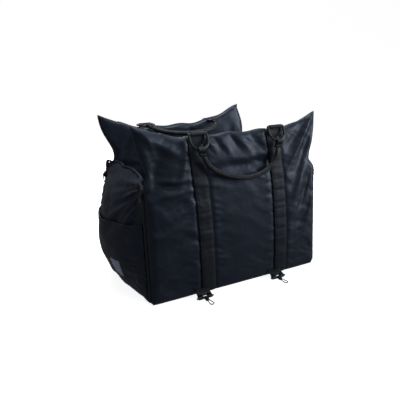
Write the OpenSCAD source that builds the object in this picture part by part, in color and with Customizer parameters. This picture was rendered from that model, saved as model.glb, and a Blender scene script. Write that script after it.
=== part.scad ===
// Padded changing bag: an open tote with puffed walls, low bulging side gussets on corner zips,
// two rolled carry handles on D-rings, and two hook straps at the foot of the front wall.
// Millimetres. The origin is the centre of the base's underside, +X along the bag's width,
// -Y out of the front wall, +Z up.

/* [Bag] */
// Width of the front and back walls at the base
bag_w = 500; // [420:5:620]
// Depth between the outer faces of the walls at their top edge
bag_d = 350; // [280:5:430]
// Height of the walls' top edge where the handles are sewn
wall_h = 405; // [330:5:490]
// Height of the walls' four pulled-up corners
peak_h = 441; // [390:1:560]
// How far each pulled-up corner stands out past the base width
peak_out = 7; // [0:1:25]
// Half-length of the straight middle of a wall's top edge
top_flat = 142; // [136:1:160]
// Thickness of a wall at its top edge
wall_t = 14; // [12:0.5:20]
// How far a wall puffs out at half height
wall_puff = 20; // [4:1:30]
// Rounding of a wall's lower edge
edge_r = 10; // [4:0.5:11]
// Height of the side gussets
gusset_h = 286; // [220:2:330]
// Thickness of a gusset
gusset_t = 10; // [6:0.5:12]
// How much higher a gusset's top edge is at mid depth than at its zips
gusset_arch = 28; // [0:1:40]
// How far a gusset bulges out
gusset_puff = 62; // [20:1:80]
// How far a gusset's top edge leans in, as a share of its bulge
gusset_lean = 0.4; // [0:0.05:0.5]

/* [Layers] */
// Thickness of the outer nylon
shell_t = 1.2; // [0.8:0.1:1.6]
// Thickness of the lining
lining_t = 1.2; // [0.8:0.1:1.6]
// Thickness of the base cloth
base_t = 2; // [1.5:0.1:3]
// Thickness of the base stiffener board
board_t = 3; // [2:0.5:5]
// Thickness of the base lining
base_lining_t = 1.5; // [1:0.1:3]
// Corner radius of the base
base_corner = 12; // [5:1:25]

/* [Side pockets] */
// Height of the pocket's top hem at mid depth
pocket_h = 196; // [110:1:220]
// How much higher the hem is at the seams
hem_rise = 6; // [0:1:20]
// Width of the pocket's mouth
pocket_gap = 15; // [9:0.5:18]
// Thickness of the pocket cloth
pocket_t = 1; // [0.8:0.1:1.5]
// Height of the hem binding on top of a gusset
binding_h = 4; // [2:0.5:6]
// Side of the blank square label on the left pocket
label_size = 42; // [25:1:60]
// Height of the label's middle
label_z = 77; // [50:1:90]
// How far the label's middle is behind mid depth
label_y = -60; // [-80:1:40]

/* [Webbing and rings] */
// Width of the webbing
web_w = 38; // [25:1:42]
// Thickness of the webbing
web_t = 1.8; // [1.2:0.1:2.4]
// Distance between the two vertical webbings' centres
web_span = 222; // [190:2:230]
// Diameter of the ring wire
ring_wire = 6; // [4:0.5:7]
// Clear width inside a ring
ring_inside = 40; // [40:1:46]
// Length of a ring's straight legs
ring_leg = 16; // [10:1:25]
// Tilt of the front rings from the vertical, resting on the puffed wall
ring_tilt = 25; // [22:1:40]
// Droop of the back rings below the horizontal, resting on the wall's top edge
ring_droop = 2; // [0:0.5:3]
// How far the back handle hangs below its rings, in degrees
handle_droop = 16; // [0:1:30]
// Height of a ring's bar above the wall's top edge
ring_up = 5; // [5:0.5:8]
// Distance of a ring's bar from the wall's outer face
ring_off = 9; // [9:0.5:12]
// Length of the sewn tab below the ring's bar
tab_len = 27; // [18:1:34]

/* [Handles] */
// Diameter of the rolled handle
handle_d = 13; // [11:0.5:15]
// Depth of a handle from its end loops to its middle
handle_drop = 82; // [70:1:110]
// Half-angle of the handle's middle arc
handle_mid = 35; // [25:1:40]
// Slope of the handle's ends
handle_end = 75; // [65:1:80]
// Length of the straight ends
handle_straight = 22; // [18:1:30]
// Width of an end loop
loop_w = 18; // [14:1:18]
// Thickness of an end loop's webbing
loop_t = 1.8; // [1.2:0.1:2.4]

/* [Zips] */
// Width of the zip tape
tape_w = 18; // [14:1:22]
// Thickness of the zip tape
tape_t = 1; // [0.6:0.1:1.4]
// Width of the coil
coil_w = 3.2; // [2.4:0.1:4]
// Length of a slider
slider_l = 11; // [8:0.5:14]
// Width of a slider
slider_w = 8; // [7:0.5:10]
// Length of a pull from its pin
pull_l = 15; // [10:0.5:24]
// Width of a pull
pull_w = 6; // [5:0.5:7]

/* [Hook straps] */
// Length of a strap from its seam to its bar
strap_len = 25; // [22:1:45]
// Height of the seam that the straps hang from
strap_root_z = 17.5; // [13:0.5:20]
// Sideways offset of both straps from the webbing
strap_shift = -8; // [-12:1:12]
// Diameter of the strap bar
bar_d = 5; // [4:0.5:6]
// Bar standing out each side of the strap
bar_nub = 4; // [2:0.5:6]
// Diameter of the hook wire
hook_wire = 2.6; // [2:0.1:3]
// Length of the hook loop from its collar to the tip's centre
hook_len = 21; // [18:1:30]
// Radius of the hook's tip
hook_r = 5.2; // [4.6:0.1:6]
// Droop of the hook towards the floor
hook_tilt = 4; // [0:0.5:6]

/* [Fits] */
// Radial clearance of a running fit
fit = 0.05; // [0.02:0.01:0.1]
// Gap between pieces that move past each other
gap = 0.3; // [0.2:0.05:0.5]

/* [Hidden] */
$fn = 48;

left = -1;
right = 1;
front = -1;
back = 1;

nylon = [0.10, 0.11, 0.14];
lining_colour = [0.07, 0.07, 0.09];
fill_colour = [0.80, 0.80, 0.78];
webbing_colour = [0.16, 0.16, 0.17];
black_metal = [0.05, 0.05, 0.06];
gunmetal = [0.30, 0.32, 0.35];
board_colour = [0.25, 0.25, 0.27];
label_colour = [0.42, 0.43, 0.50];

// Walls: inner face flat, outer face a sine puff with a rounded lower edge
wall_in = bag_d / 2 - wall_t;
wall_steps = 18;
round_steps = 4;
peak_x = bag_w / 2 + peak_out;
wall_zs = concat(
    [for (i = [0 : round_steps]) base_t + edge_r * (1 - cos(90 * i / round_steps))],
    [for (i = [1 : wall_steps]) base_t + edge_r + (wall_h - base_t - edge_r) * i / wall_steps],
    [peak_h]);

// Gussets: the side seams run down flat flanges that the zip tapes cover
flange_y = wall_in - tape_w / 2 - 1;
gusset_cols = 14;
gusset_rows = 12;
inside_x = bag_w / 2 - gusset_t;
floor_z = base_t + board_t + base_lining_t;

// Rings
ring_y = bag_d / 2 + ring_off;
ring_z = wall_h + ring_up;
ring_half = (ring_inside + ring_wire) / 2;
ring_reach = ring_leg + ring_half;
front_ring_turn = -ring_tilt;
back_ring_turn = -90 + ring_droop;
roll_r = ring_wire / 2 + fit + web_t;

// Handles: a wide middle arc, a tighter arc at each side and straight ends, all tangent
loop_in = ring_half - sqrt(pow(ring_half - ring_wire / 2, 2) - loop_w * loop_w / 4) + 0.15;
run_left = web_span / 2 - handle_straight * cos(handle_end);
drop_left = handle_drop - handle_straight * sin(handle_end);
bend_x = sin(handle_end) - sin(handle_mid);
bend_z = cos(handle_mid) - cos(handle_end);
bend_det = sin(handle_mid) * bend_z - bend_x * (1 - cos(handle_mid));
mid_r = (run_left * bend_z - bend_x * drop_left) / bend_det;
side_r = (sin(handle_mid) * drop_left - (1 - cos(handle_mid)) * run_left) / bend_det;

// Zips: coil face, travel and the slider's place at the top
zip_y = wall_in;
zip_x = bag_w / 2 + tape_t;
zip_low = base_t + edge_r;
stop_h = 2;
coil_low = zip_low + stop_h + 1;
coil_high = gusset_h - stop_h - 2;
slider_z = coil_high - slider_l / 2 - gap;
slider_h = coil_w / 2 + 2.6;
lug_w = 2.4;
pin_r = 0.7;
pin_x = zip_x + slider_h + 1.4;

// Hook straps
strap_roll = bar_d / 2 + fit + web_t;
strap_y = outer_y(strap_root_z) + web_t + gap;
strap_slope = asin((strap_root_z - strap_roll - 0.2) / strap_len);
webbing_low = strap_root_z + web_t + 3;
notch_w = 12;
block_w = 9;
block_front = 10.5;
block_h = 6.4;
shank_r = 1.5;
head_r = 2.4;
head_back = 3.6;
head_front = 6.8;
collar_front = block_front + gap + 1.6;
gate_wire = 2.2;
gate_x = -3.2;
gate_pivot = collar_front + 2.2;
gate_pin_r = 0.8;
barrel_r = 1.55;
barrel_h = 2.2;
fork_front = collar_front + 4;
tip_x = 0.9;
tip_f = collar_front + hook_len;
nose_angle = 200;
wire_start = [1.5, collar_front - 0.5];
wire_run = [tip_x, tip_f] - wire_start;
wire_angle = -asin(hook_r / norm(wire_run)) - atan2(wire_run[0], wire_run[1]);

function edge_in(z) =
    let (h = min(max(z - base_t, 0), edge_r))
    edge_r - sqrt(edge_r * edge_r - (edge_r - h) * (edge_r - h));
function bulge(z) =
    z >= wall_h ? 0 : wall_puff * pow(max(0, sin(180 * (z - base_t) / (wall_h - base_t))), 0.8);
function outer_y(z) = bag_d / 2 + bulge(z) - edge_in(z);

// Share of the bulge across the depth, and up the height
function side_curve(y) = abs(y) >= flange_y ? 0 : pow(cos(90 * y / flange_y), 0.8);
function rise_curve(s) = pow(max(0, sin(180 * pow(s, 0.9))), 0.7) - gusset_lean * pow(s, 8);
function gusset_top(y) = gusset_h + gusset_arch * (1 - pow(min(1, abs(y) / flange_y), 2.5));
function gusset_x(y, z) =
    bag_w / 2 + gusset_puff * side_curve(y) * rise_curve(min(1, (z - base_t) / (gusset_top(y) - base_t)));
function hem_z(y) = pocket_h + hem_rise * pow(abs(y) / flange_y, 2);
function column_y(i) =
    i == 0 ? -wall_in
    : i == gusset_cols + 2 ? wall_in
    : -flange_y + 2 * flange_y * (i - 1) / gusset_cols;

function gusset_grid(inset) = [
    for (j = [0 : gusset_rows]) [
        for (i = [0 : gusset_cols + 2])
            let (y = column_y(i), z = base_t + (gusset_top(y) - base_t) * (1 - cos(180 * j / gusset_rows)) / 2)
            [gusset_x(y, z) - inset, y, z]]];
function pocket_grid(out) = [
    for (j = [0 : gusset_rows]) [
        for (i = [0 : gusset_cols])
            let (y = flange_y * (2 * i / gusset_cols - 1), z = zip_low + (hem_z(y) - zip_low) * j / gusset_rows)
            [pocket_x(y, z) + out, y, z]]];
function pocket_x(y, z) =
    gusset_x(y, z) + 0.6
    + pocket_gap * side_curve(y) * sin(90 * min(1, (z - zip_low) / (hem_z(y) - zip_low)));
label_steps = 4;
function label_grid(out) = [
    for (j = [0 : label_steps]) [
        for (i = [0 : label_steps])
            let (y = label_y + label_size * (i / label_steps - 0.5), z = label_z + label_size * (j / label_steps - 0.5))
            [pocket_x(y, z) + pocket_t + out, y, z]]];
function binding_grid(lift) = [
    for (side = [0, gusset_t]) [
        for (i = [0 : gusset_cols + 2])
            let (y = column_y(i))
            [gusset_x(y, gusset_top(y)) - side, y, gusset_top(y) + lift]]];

// Closed solid between two grids of points; the first is on the side that +X faces
module between(outer, inner) {
    rows = len(outer);
    cols = len(outer[0]);
    count = rows * cols;
    skin = [for (j = [0 : rows - 2], i = [0 : cols - 2]) let (p = j * cols + i) [p, p + 1, p + cols + 1, p + cols]];
    rim = concat(
        [for (i = [0 : cols - 2]) [i + 1, i]],
        [for (i = [0 : cols - 2]) [(rows - 1) * cols + i, (rows - 1) * cols + i + 1]],
        [for (j = [0 : rows - 2]) [j * cols, (j + 1) * cols]],
        [for (j = [0 : rows - 2]) [(j + 2) * cols - 1, (j + 1) * cols - 1]]);
    polyhedron(
        points = concat([for (row = outer) each row], [for (row = inner) each row]),
        faces = concat(
            [for (q = skin) each [[q[0], q[2], q[1]], [q[0], q[3], q[2]]]],
            [for (q = skin) each [[q[0] + count, q[1] + count, q[2] + count], [q[0] + count, q[2] + count, q[3] + count]]],
            [for (e = rim) each [[e[0], e[0] + count, e[1] + count], [e[0], e[1] + count, e[1]]]]));
}

// Children are drawn for the right-hand back corner and mirrored to the others
module at_corner(side_x, side_y) {
    mirror([side_x == left ? 1 : 0, 0, 0])
        mirror([0, side_y == front ? 1 : 0, 0])
            children();
}

// Extrudes an outline of (y, z) points along X, centred
module along_x(length) {
    rotate([90, 0, 90]) linear_extrude(length, center = true) children();
}

module along_y(length) {
    rotate([90, 0, 0]) linear_extrude(length, center = true) children();
}

module wall_outline() {
    steps = 8;
    half = concat(
        [[bag_w / 2, 0], [bag_w / 2, gusset_h]],
        [for (i = [1 : steps]) let (s = i / steps)
            [bag_w / 2 + peak_out * pow(s, 1.5), gusset_h + (peak_h - gusset_h) * s]],
        [for (i = [steps - 1 : -1 : 0]) let (s = i / steps)
            [top_flat + (peak_x - top_flat) * s, wall_h + (peak_h - wall_h) * pow(s, 1.5)]]);
    mirrored = [for (i = [len(half) - 1 : -1 : 0]) [-half[i][0], half[i][1]]];
    polygon(concat(half, mirrored));
}

// One layer of a wall: from a depth under the outer face to another depth, or to a flat plane
module wall_layer(from, to, plane) {
    inner = [for (i = [len(wall_zs) - 1 : -1 : 0])
        [is_undef(plane) ? outer_y(wall_zs[i]) - to : plane, wall_zs[i]]];
    intersection() {
        along_x(bag_w + 4 * peak_out + 10) polygon(concat([for (z = wall_zs) [outer_y(z) - from, z]], inner));
        along_y(2 * bag_d) wall_outline();
    }
}

module wall_shell() {
    color(nylon) wall_layer(0, shell_t);
}

module wall_padding() {
    color(fill_colour) wall_layer(shell_t, 0, wall_in + lining_t);
}

module wall_lining() {
    color(lining_colour)
        intersection() {
            translate([-bag_w, wall_in, base_t]) cube([2 * bag_w, lining_t, peak_h]);
            along_y(2 * bag_d) wall_outline();
        }
}

module gusset_layer(from, to, tint) {
    color(tint) between(gusset_grid(from), gusset_grid(to));
}

module gusset_shell() {
    gusset_layer(0, shell_t, nylon);
}

module gusset_padding() {
    gusset_layer(shell_t, gusset_t - lining_t, fill_colour);
}

module gusset_lining() {
    gusset_layer(gusset_t - lining_t, gusset_t, lining_colour);
}

module base_shell() {
    half_y = outer_y(base_t);
    color(nylon)
        linear_extrude(base_t)
            union() {
                square([bag_w, 2 * half_y - 2 * base_corner], center = true);
                square([bag_w - 2 * base_corner, 2 * half_y], center = true);
                for (x = [left, right], y = [front, back])
                    translate([x * (bag_w / 2 - base_corner), y * (half_y - base_corner)]) circle(base_corner);
            }
}

module floor_sheet(z, t) {
    margin = 1;
    translate([margin - inside_x, margin - wall_in, z])
        cube([2 * (inside_x - margin), 2 * (wall_in - margin), t]);
}

module base_board() {
    color(board_colour) floor_sheet(base_t, board_t);
}

module base_lining() {
    color(lining_colour) floor_sheet(base_t + board_t, base_lining_t);
}

// Slip pocket: sewn to the gusset at its sides and foot, standing open along its hem
module side_pocket() {
    color(nylon) between(pocket_grid(pocket_t), pocket_grid(0));
}

module gusset_binding() {
    low = binding_grid(0);
    high = binding_grid(binding_h);
    color(black_metal) between([low[0], high[0]], [low[1], high[1]]);
}

module label_patch() {
    color(label_colour) between(label_grid(1.2), label_grid(0.3));
}

// Vertical webbing on a wall's outer face, drawn for the back
module wall_webbing() {
    zs = concat([webbing_low], [for (z = wall_zs) if (z > webbing_low + 1 && z <= wall_h) z]);
    color(webbing_colour)
        along_x(web_w)
            polygon(concat(
                [for (z = zs) [outer_y(z) + web_t, z]],
                [for (i = [len(zs) - 1 : -1 : 0]) [outer_y(zs[i]), zs[i]]]));
}

// Webbing rolled round the ring's bar and sewn down in a rounded tongue
module ring_tab() {
    tab_top = wall_h - 3;
    tab_low = ring_z - tab_len;
    zs = [for (i = [0 : 5]) tab_low + (tab_top - tab_low) * i / 5];
    color(webbing_colour)
        intersection() {
            along_x(web_w)
                difference() {
                    union() {
                        translate([ring_y, ring_z]) circle(roll_r);
                        polygon(concat(
                            [for (z = zs) [outer_y(z) + 2 * web_t, z]],
                            [[ring_y - roll_r * 0.2, ring_z - roll_r * 0.95],
                             [ring_y - roll_r * 0.95, ring_z + roll_r * 0.2]],
                            [for (i = [len(zs) - 1 : -1 : 0]) [outer_y(zs[i]) + web_t, zs[i]]]));
                    }
                    translate([ring_y, ring_z]) circle(ring_wire / 2 + fit);
                }
            along_y(3 * bag_d)
                union() {
                    translate([-web_w / 2, tab_low + web_w / 4]) square([web_w, 2 * tab_len]);
                    intersection() {
                        translate([0, tab_low + 0.8 * web_w]) circle(0.8 * web_w);
                        translate([-web_w / 2, tab_low]) square([web_w, web_w]);
                    }
                }
        }
}

// D-ring hanging straight down from its bar at the origin
module d_ring() {
    r = ring_wire / 2;
    color(black_metal)
        union() {
            rotate([0, 90, 0]) cylinder(r = r, h = 2 * ring_half, center = true);
            for (x = [left, right]) {
                translate([x * ring_half, 0, 0]) sphere(r);
                translate([x * ring_half, 0, -ring_leg]) cylinder(r = r, h = ring_leg);
            }
            translate([0, 0, -ring_leg])
                rotate([-90, 0, 0])
                    rotate_extrude(angle = 180) translate([ring_half, 0]) circle(r);
        }
}

module ring_at(side_x, side_y) {
    translate([side_x * web_span / 2, side_y * ring_y, ring_z])
        rotate([side_y == front ? front_ring_turn : back_ring_turn, 0, 0])
            d_ring();
}

// Half of the rolled handle in the (x, z) plane: middle arc, side arc and straight end
module handle_half() {
    rotate([90, 0, 0]) {
        translate([0, mid_r - handle_drop, 0])
            rotate([0, 0, 270])
                rotate_extrude(angle = handle_mid) translate([mid_r, 0]) circle(d = handle_d);
        translate([(mid_r - side_r) * sin(handle_mid), mid_r - handle_drop - (mid_r - side_r) * cos(handle_mid), 0])
            rotate([0, 0, 270 + handle_mid])
                rotate_extrude(angle = handle_end - handle_mid) translate([side_r, 0]) circle(d = handle_d);
    }
    translate([web_span / 2, 0, 0])
        rotate([0, 270 - handle_end, 0])
            translate([0, 0, 2])
                cylinder(d = handle_d, h = handle_straight - 2);
}

// Rolled handle hanging from the centres of its two end loops
module carry_handle() {
    color(webbing_colour)
        difference() {
            union() {
                handle_half();
                mirror([1, 0, 0]) handle_half();
                for (x = [left, right])
                    translate([x * web_span / 2, 0, 0])
                        rotate([0, 90, 0]) cylinder(r = loop_in + loop_t, h = loop_w, center = true);
            }
            for (x = [left, right])
                translate([x * web_span / 2, 0, 0])
                    rotate([0, 90, 0]) cylinder(r = loop_in, h = 2 * loop_w, center = true);
        }
}

module front_handle() {
    translate([0, -ring_y - ring_reach * sin(ring_tilt), ring_z - ring_reach * cos(ring_tilt)])
        carry_handle();
}

module back_handle() {
    translate([0, ring_y - ring_reach * cos(ring_droop), ring_z - ring_reach * sin(ring_droop)])
        rotate([back_ring_turn + handle_droop, 0, 0])
            carry_handle();
}

// The two halves of a corner zip's tape, drawn for the right-hand back corner
module zip_tape() {
    slit = 0.3;
    color(black_metal)
        for (side = [front, back])
            translate([bag_w / 2, zip_y + (side == front ? -tape_w / 2 : slit / 2), zip_low])
                cube([tape_t, tape_w / 2 - slit / 2, gusset_h - zip_low]);
}

module zip_coil() {
    color(black_metal)
        intersection() {
            translate([zip_x, zip_y, coil_low]) cylinder(d = coil_w, h = coil_high - coil_low);
            translate([zip_x, zip_y - coil_w, coil_low]) cube([coil_w, 2 * coil_w, coil_high - coil_low]);
        }
}

module zip_stop_pair() {
    color(black_metal)
        for (z = [zip_low, coil_high + 1])
            translate([zip_x, zip_y - coil_w / 2 - 0.5, z]) cube([coil_w / 2 + 0.6, coil_w + 1, stop_h]);
}

module zip_slider() {
    color(black_metal)
        translate([zip_x, zip_y, slider_z])
            difference() {
                union() {
                    translate([gap, -slider_w / 2, -slider_l / 2]) cube([slider_h - gap, slider_w, slider_l]);
                    translate([slider_h - 0.5, -lug_w / 2, -2]) cube([1.9, lug_w, 4]);
                    translate([slider_h + 1.4, lug_w / 2, 0]) rotate([90, 0, 0]) cylinder(r = 2, h = lug_w);
                }
                translate([0, 0, -slider_l]) cylinder(d = coil_w + 2 * gap, h = 2 * slider_l);
                translate([slider_h + 1.4, slider_w, 0]) rotate([90, 0, 0]) cylinder(r = pin_r + fit, h = 2 * slider_w);
            }
}

module zip_pull() {
    arm_in = lug_w / 2 + gap;
    t = 1.2;
    color(gunmetal)
        translate([pin_x, zip_y, slider_z]) {
            rotate([90, 0, 0]) cylinder(r = pin_r, h = pull_w, center = true);
            for (side = [front, back])
                translate([-t / 2, side == front ? -pull_w / 2 : arm_in, -5]) cube([t, pull_w / 2 - arm_in, 5.4]);
            difference() {
                translate([-t / 2, -pull_w / 2, -pull_l]) cube([t, pull_w, pull_l - 4]);
                translate([0, 0, 2.6 - pull_l]) rotate([0, 90, 0]) cylinder(r = 1.4, h = 4 * t, center = true);
            }
        }
}

// Short folded strap, reaching forward from its seam at the origin to the bar's bore
module hook_strap() {
    color(black_metal)
        difference() {
            along_x(web_w)
                difference() {
                    union() {
                        circle(web_t);
                        translate([-strap_len, -web_t]) square([strap_len, 2 * web_t]);
                        translate([-strap_len, 0]) circle(strap_roll);
                    }
                    translate([-strap_len, 0]) circle(bar_d / 2 + fit);
                }
            translate([-notch_w / 2, -strap_len - 2 * bar_d, -2 * bar_d])
                cube([notch_w, 2 * bar_d + strap_roll + gap, 4 * bar_d]);
        }
}

// Bar with a swivel block on its middle, reaching forward from the bar's axis
module strap_eye() {
    color(gunmetal)
        difference() {
            union() {
                rotate([0, 90, 0]) cylinder(d = bar_d, h = web_w + 2 * bar_nub, center = true);
                translate([-block_w / 2, -block_front, -block_h / 2]) cube([block_w, block_front - 1, block_h]);
            }
            translate([0, -head_back + 0.2, 0])
                rotate([90, 0, 0]) cylinder(r = head_r + 0.2, h = head_front - head_back + 0.4);
            translate([0, -head_back, 0]) rotate([90, 0, 0]) cylinder(r = shank_r + fit, h = block_front);
        }
}

// Round bar between two points of the hook's (x, forward) plane
module hook_bar(a, b, d) {
    run = norm(b - a);
    translate([a[0], -a[1], 0])
        rotate([90, 0, atan2(b[0] - a[0], b[1] - a[1])])
            cylinder(d = d, h = run);
}

module wire_hook() {
    tip = [tip_x, tip_f];
    wire_end = tip + hook_r * [cos(wire_angle), sin(wire_angle)];
    ear_t = 1.1;
    color(gunmetal)
        union() {
            translate([0, -head_back, 0]) rotate([90, 0, 0]) cylinder(r = head_r, h = head_front - head_back);
            translate([0, -head_back, 0]) rotate([90, 0, 0]) cylinder(r = shank_r, h = collar_front - head_back);
            translate([0, -block_front - gap, 0]) rotate([90, 0, 0]) cylinder(r = 2.7, h = 1.6);
            translate([-1, -fork_front, -hook_wire / 2 - 0.35]) cube([3.6, 4.6, hook_wire + 0.7]);
            for (z = [-barrel_h / 2 - 0.15 - ear_t, barrel_h / 2 + 0.15])
                translate([gate_x - 1.8, -fork_front, z]) cube([2.6 - gate_x + 1.8, 4.6, ear_t]);
            translate([gate_x, -gate_pivot, 0]) cylinder(r = gate_pin_r, h = barrel_h + 2 * ear_t, center = true);
            hook_bar(wire_start, wire_end, hook_wire);
            translate([tip[0], -tip[1], 0])
                rotate([0, 0, -nose_angle])
                    rotate_extrude(angle = nose_angle - wire_angle) translate([hook_r, 0]) circle(d = hook_wire);
        }
}

// Sprung straight gate, closing on the hook's nose
module hook_gate() {
    nose = [tip_x, tip_f] + hook_r * [cos(nose_angle), sin(nose_angle)];
    pivot = [gate_x, gate_pivot];
    reach = nose - pivot;
    end = pivot + reach * (1 - (gap + 0.2) / norm(reach));
    color(gunmetal)
        difference() {
            union() {
                translate([gate_x, -gate_pivot, 0]) cylinder(r = barrel_r, h = barrel_h, center = true);
                intersection() {
                    hook_bar(pivot, end, gate_wire);
                    translate([-50, -100, -barrel_h / 2]) cube([100, 200, barrel_h]);
                }
            }
            translate([gate_x, -gate_pivot, 0]) cylinder(r = gate_pin_r + fit, h = 2 * barrel_h, center = true);
        }
}

module at_strap(side_x) {
    translate([side_x * web_span / 2 + strap_shift, -strap_y, strap_root_z])
        rotate([strap_slope, 0, 0])
            children();
}

module at_bar(side_x) {
    translate([
        side_x * web_span / 2 + strap_shift,
        -strap_y - strap_len * cos(strap_slope),
        strap_root_z - strap_len * sin(strap_slope)])
        rotate([hook_tilt, 0, 0])
            children();
}

at_corner(right, front) wall_shell();  // front_shell
at_corner(right, front) wall_padding();  // front_padding
at_corner(right, front) wall_lining();  // front_lining
wall_shell();  // back_shell
wall_padding();  // back_padding
wall_lining();  // back_lining
at_corner(left, back) gusset_shell();  // left_gusset_shell
at_corner(left, back) gusset_padding();  // left_gusset_padding
at_corner(left, back) gusset_lining();  // left_gusset_lining
gusset_shell();  // right_gusset_shell
gusset_padding();  // right_gusset_padding
gusset_lining();  // right_gusset_lining
base_shell();
base_board();
base_lining();
at_corner(left, back) side_pocket();  // left_pocket
side_pocket();  // right_pocket
at_corner(left, back) gusset_binding();  // left_binding
gusset_binding();  // right_binding
at_corner(left, back) label_patch();
translate([-web_span / 2, 0, 0]) at_corner(left, front) wall_webbing();  // front_left_webbing
translate([web_span / 2, 0, 0]) at_corner(right, front) wall_webbing();  // front_right_webbing
translate([-web_span / 2, 0, 0]) wall_webbing();  // back_left_webbing
translate([web_span / 2, 0, 0]) wall_webbing();  // back_right_webbing
translate([-web_span / 2, 0, 0]) at_corner(left, front) ring_tab();  // front_left_tab
translate([web_span / 2, 0, 0]) at_corner(right, front) ring_tab();  // front_right_tab
translate([-web_span / 2, 0, 0]) ring_tab();  // back_left_tab
translate([web_span / 2, 0, 0]) ring_tab();  // back_right_tab
at_corner(left, front) zip_tape();  // front_left_zip_tape
at_corner(right, front) zip_tape();  // front_right_zip_tape
at_corner(left, back) zip_tape();  // back_left_zip_tape
at_corner(right, back) zip_tape();  // back_right_zip_tape
for (x = [left, right], y = [front, back]) at_corner(x, y) zip_coil();  // zip_coils
for (x = [left, right], y = [front, back]) at_corner(x, y) zip_stop_pair();  // zip_stops
ring_at(left, front);  // front_left_ring
ring_at(right, front);  // front_right_ring
front_handle();
ring_at(left, back);  // back_left_ring
ring_at(right, back);  // back_right_ring
back_handle();
at_corner(left, front) zip_slider();  // front_left_slider
at_corner(right, front) zip_slider();  // front_right_slider
at_corner(left, back) zip_slider();  // back_left_slider
at_corner(right, back) zip_slider();  // back_right_slider
at_corner(left, front) zip_pull();  // front_left_pull
at_corner(right, front) zip_pull();  // front_right_pull
at_corner(left, back) zip_pull();  // back_left_pull
at_corner(right, back) zip_pull();  // back_right_pull
at_strap(left) hook_strap();  // left_strap
at_bar(left) strap_eye();  // left_eye
at_bar(left) wire_hook();  // left_hook
at_bar(left) hook_gate();  // left_gate
at_strap(right) hook_strap();  // right_strap
at_bar(right) strap_eye();  // right_eye
at_bar(right) wire_hook();  // right_hook
at_bar(right) hook_gate();  // right_gate
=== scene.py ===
import math
import bpy
import numpy as np
from mathutils import Matrix, Vector


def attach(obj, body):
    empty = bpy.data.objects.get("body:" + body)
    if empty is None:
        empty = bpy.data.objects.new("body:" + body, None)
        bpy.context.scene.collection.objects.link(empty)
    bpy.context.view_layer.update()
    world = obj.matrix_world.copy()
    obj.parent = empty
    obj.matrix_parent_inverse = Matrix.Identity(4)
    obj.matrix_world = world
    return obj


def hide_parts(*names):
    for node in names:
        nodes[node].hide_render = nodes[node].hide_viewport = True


# Padded changing bag: soft walls, gussets, webbing and handles built round the fixed frame

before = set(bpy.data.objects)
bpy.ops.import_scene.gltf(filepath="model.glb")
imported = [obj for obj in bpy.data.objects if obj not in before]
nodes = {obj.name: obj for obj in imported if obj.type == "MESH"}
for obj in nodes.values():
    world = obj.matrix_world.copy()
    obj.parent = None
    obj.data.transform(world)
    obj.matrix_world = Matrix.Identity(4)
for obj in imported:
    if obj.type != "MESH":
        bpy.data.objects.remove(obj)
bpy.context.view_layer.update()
print("frame loaded:", len(nodes), "nodes")

# The bag's main sizes in metres, the same for every piece that is sewn to it
bag = {
    "halfWidth": 0.2495, "gussetTop": 0.286, "wallTop": 0.405, "peakTop": 0.441,
    "seamY": 0.1665, "innerY": 0.161, "faceY": 0.175, "floor": 0.002, "puff": 0.020,
    "flangeY": 0.151, "gussetX": 0.250, "gussetPuff": 0.062, "gussetArch": 0.028, "gussetLean": 0.4,
    "hemZ": 0.196, "hemRise": 0.006, "pocketGap": 0.013, "webHalf": 0.019, "webX": 0.111,
    "ringY": 0.184, "ringZ": 0.410, "cornerIn": 0.010, "liningLimit": 0.1522,
}


class Wire:  # a shader socket that can stand in a sum: each operator adds one Math node
    def __init__(self, finish, socket):
        self.finish, self.socket = finish, socket

    def maths(self, operation, a, b=None):
        given = {i: v for i, v in enumerate((a, b)) if v is not None}
        return self.finish.node("ShaderNodeMath", {"operation": operation}, given)

    def __add__(self, other): return self.maths("ADD", self, other)
    def __sub__(self, other): return self.maths("SUBTRACT", self, other)
    def __rsub__(self, other): return self.maths("SUBTRACT", other, self)
    def __mul__(self, other): return self.maths("MULTIPLY", self, other)
    def __truediv__(self, other): return self.maths("DIVIDE", self, other)
    def sine(self): return self.maths("SINE", self)
    def size(self): return self.maths("ABSOLUTE", self)
    def part(self): return self.maths("FRACT", self)
    def top(self, other): return self.maths("MAXIMUM", self, other)

    def ramp(self, low, high):  # 0 below low, 1 above high, smooth between
        spread = {"interpolation_type": "SMOOTHSTEP"}
        return self.finish.node("ShaderNodeMapRange", spread, {0: self, 1: low, 2: high})


socketNames = {"colour": "Base Color", "roughness": "Roughness", "normal": "Normal"}


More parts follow.
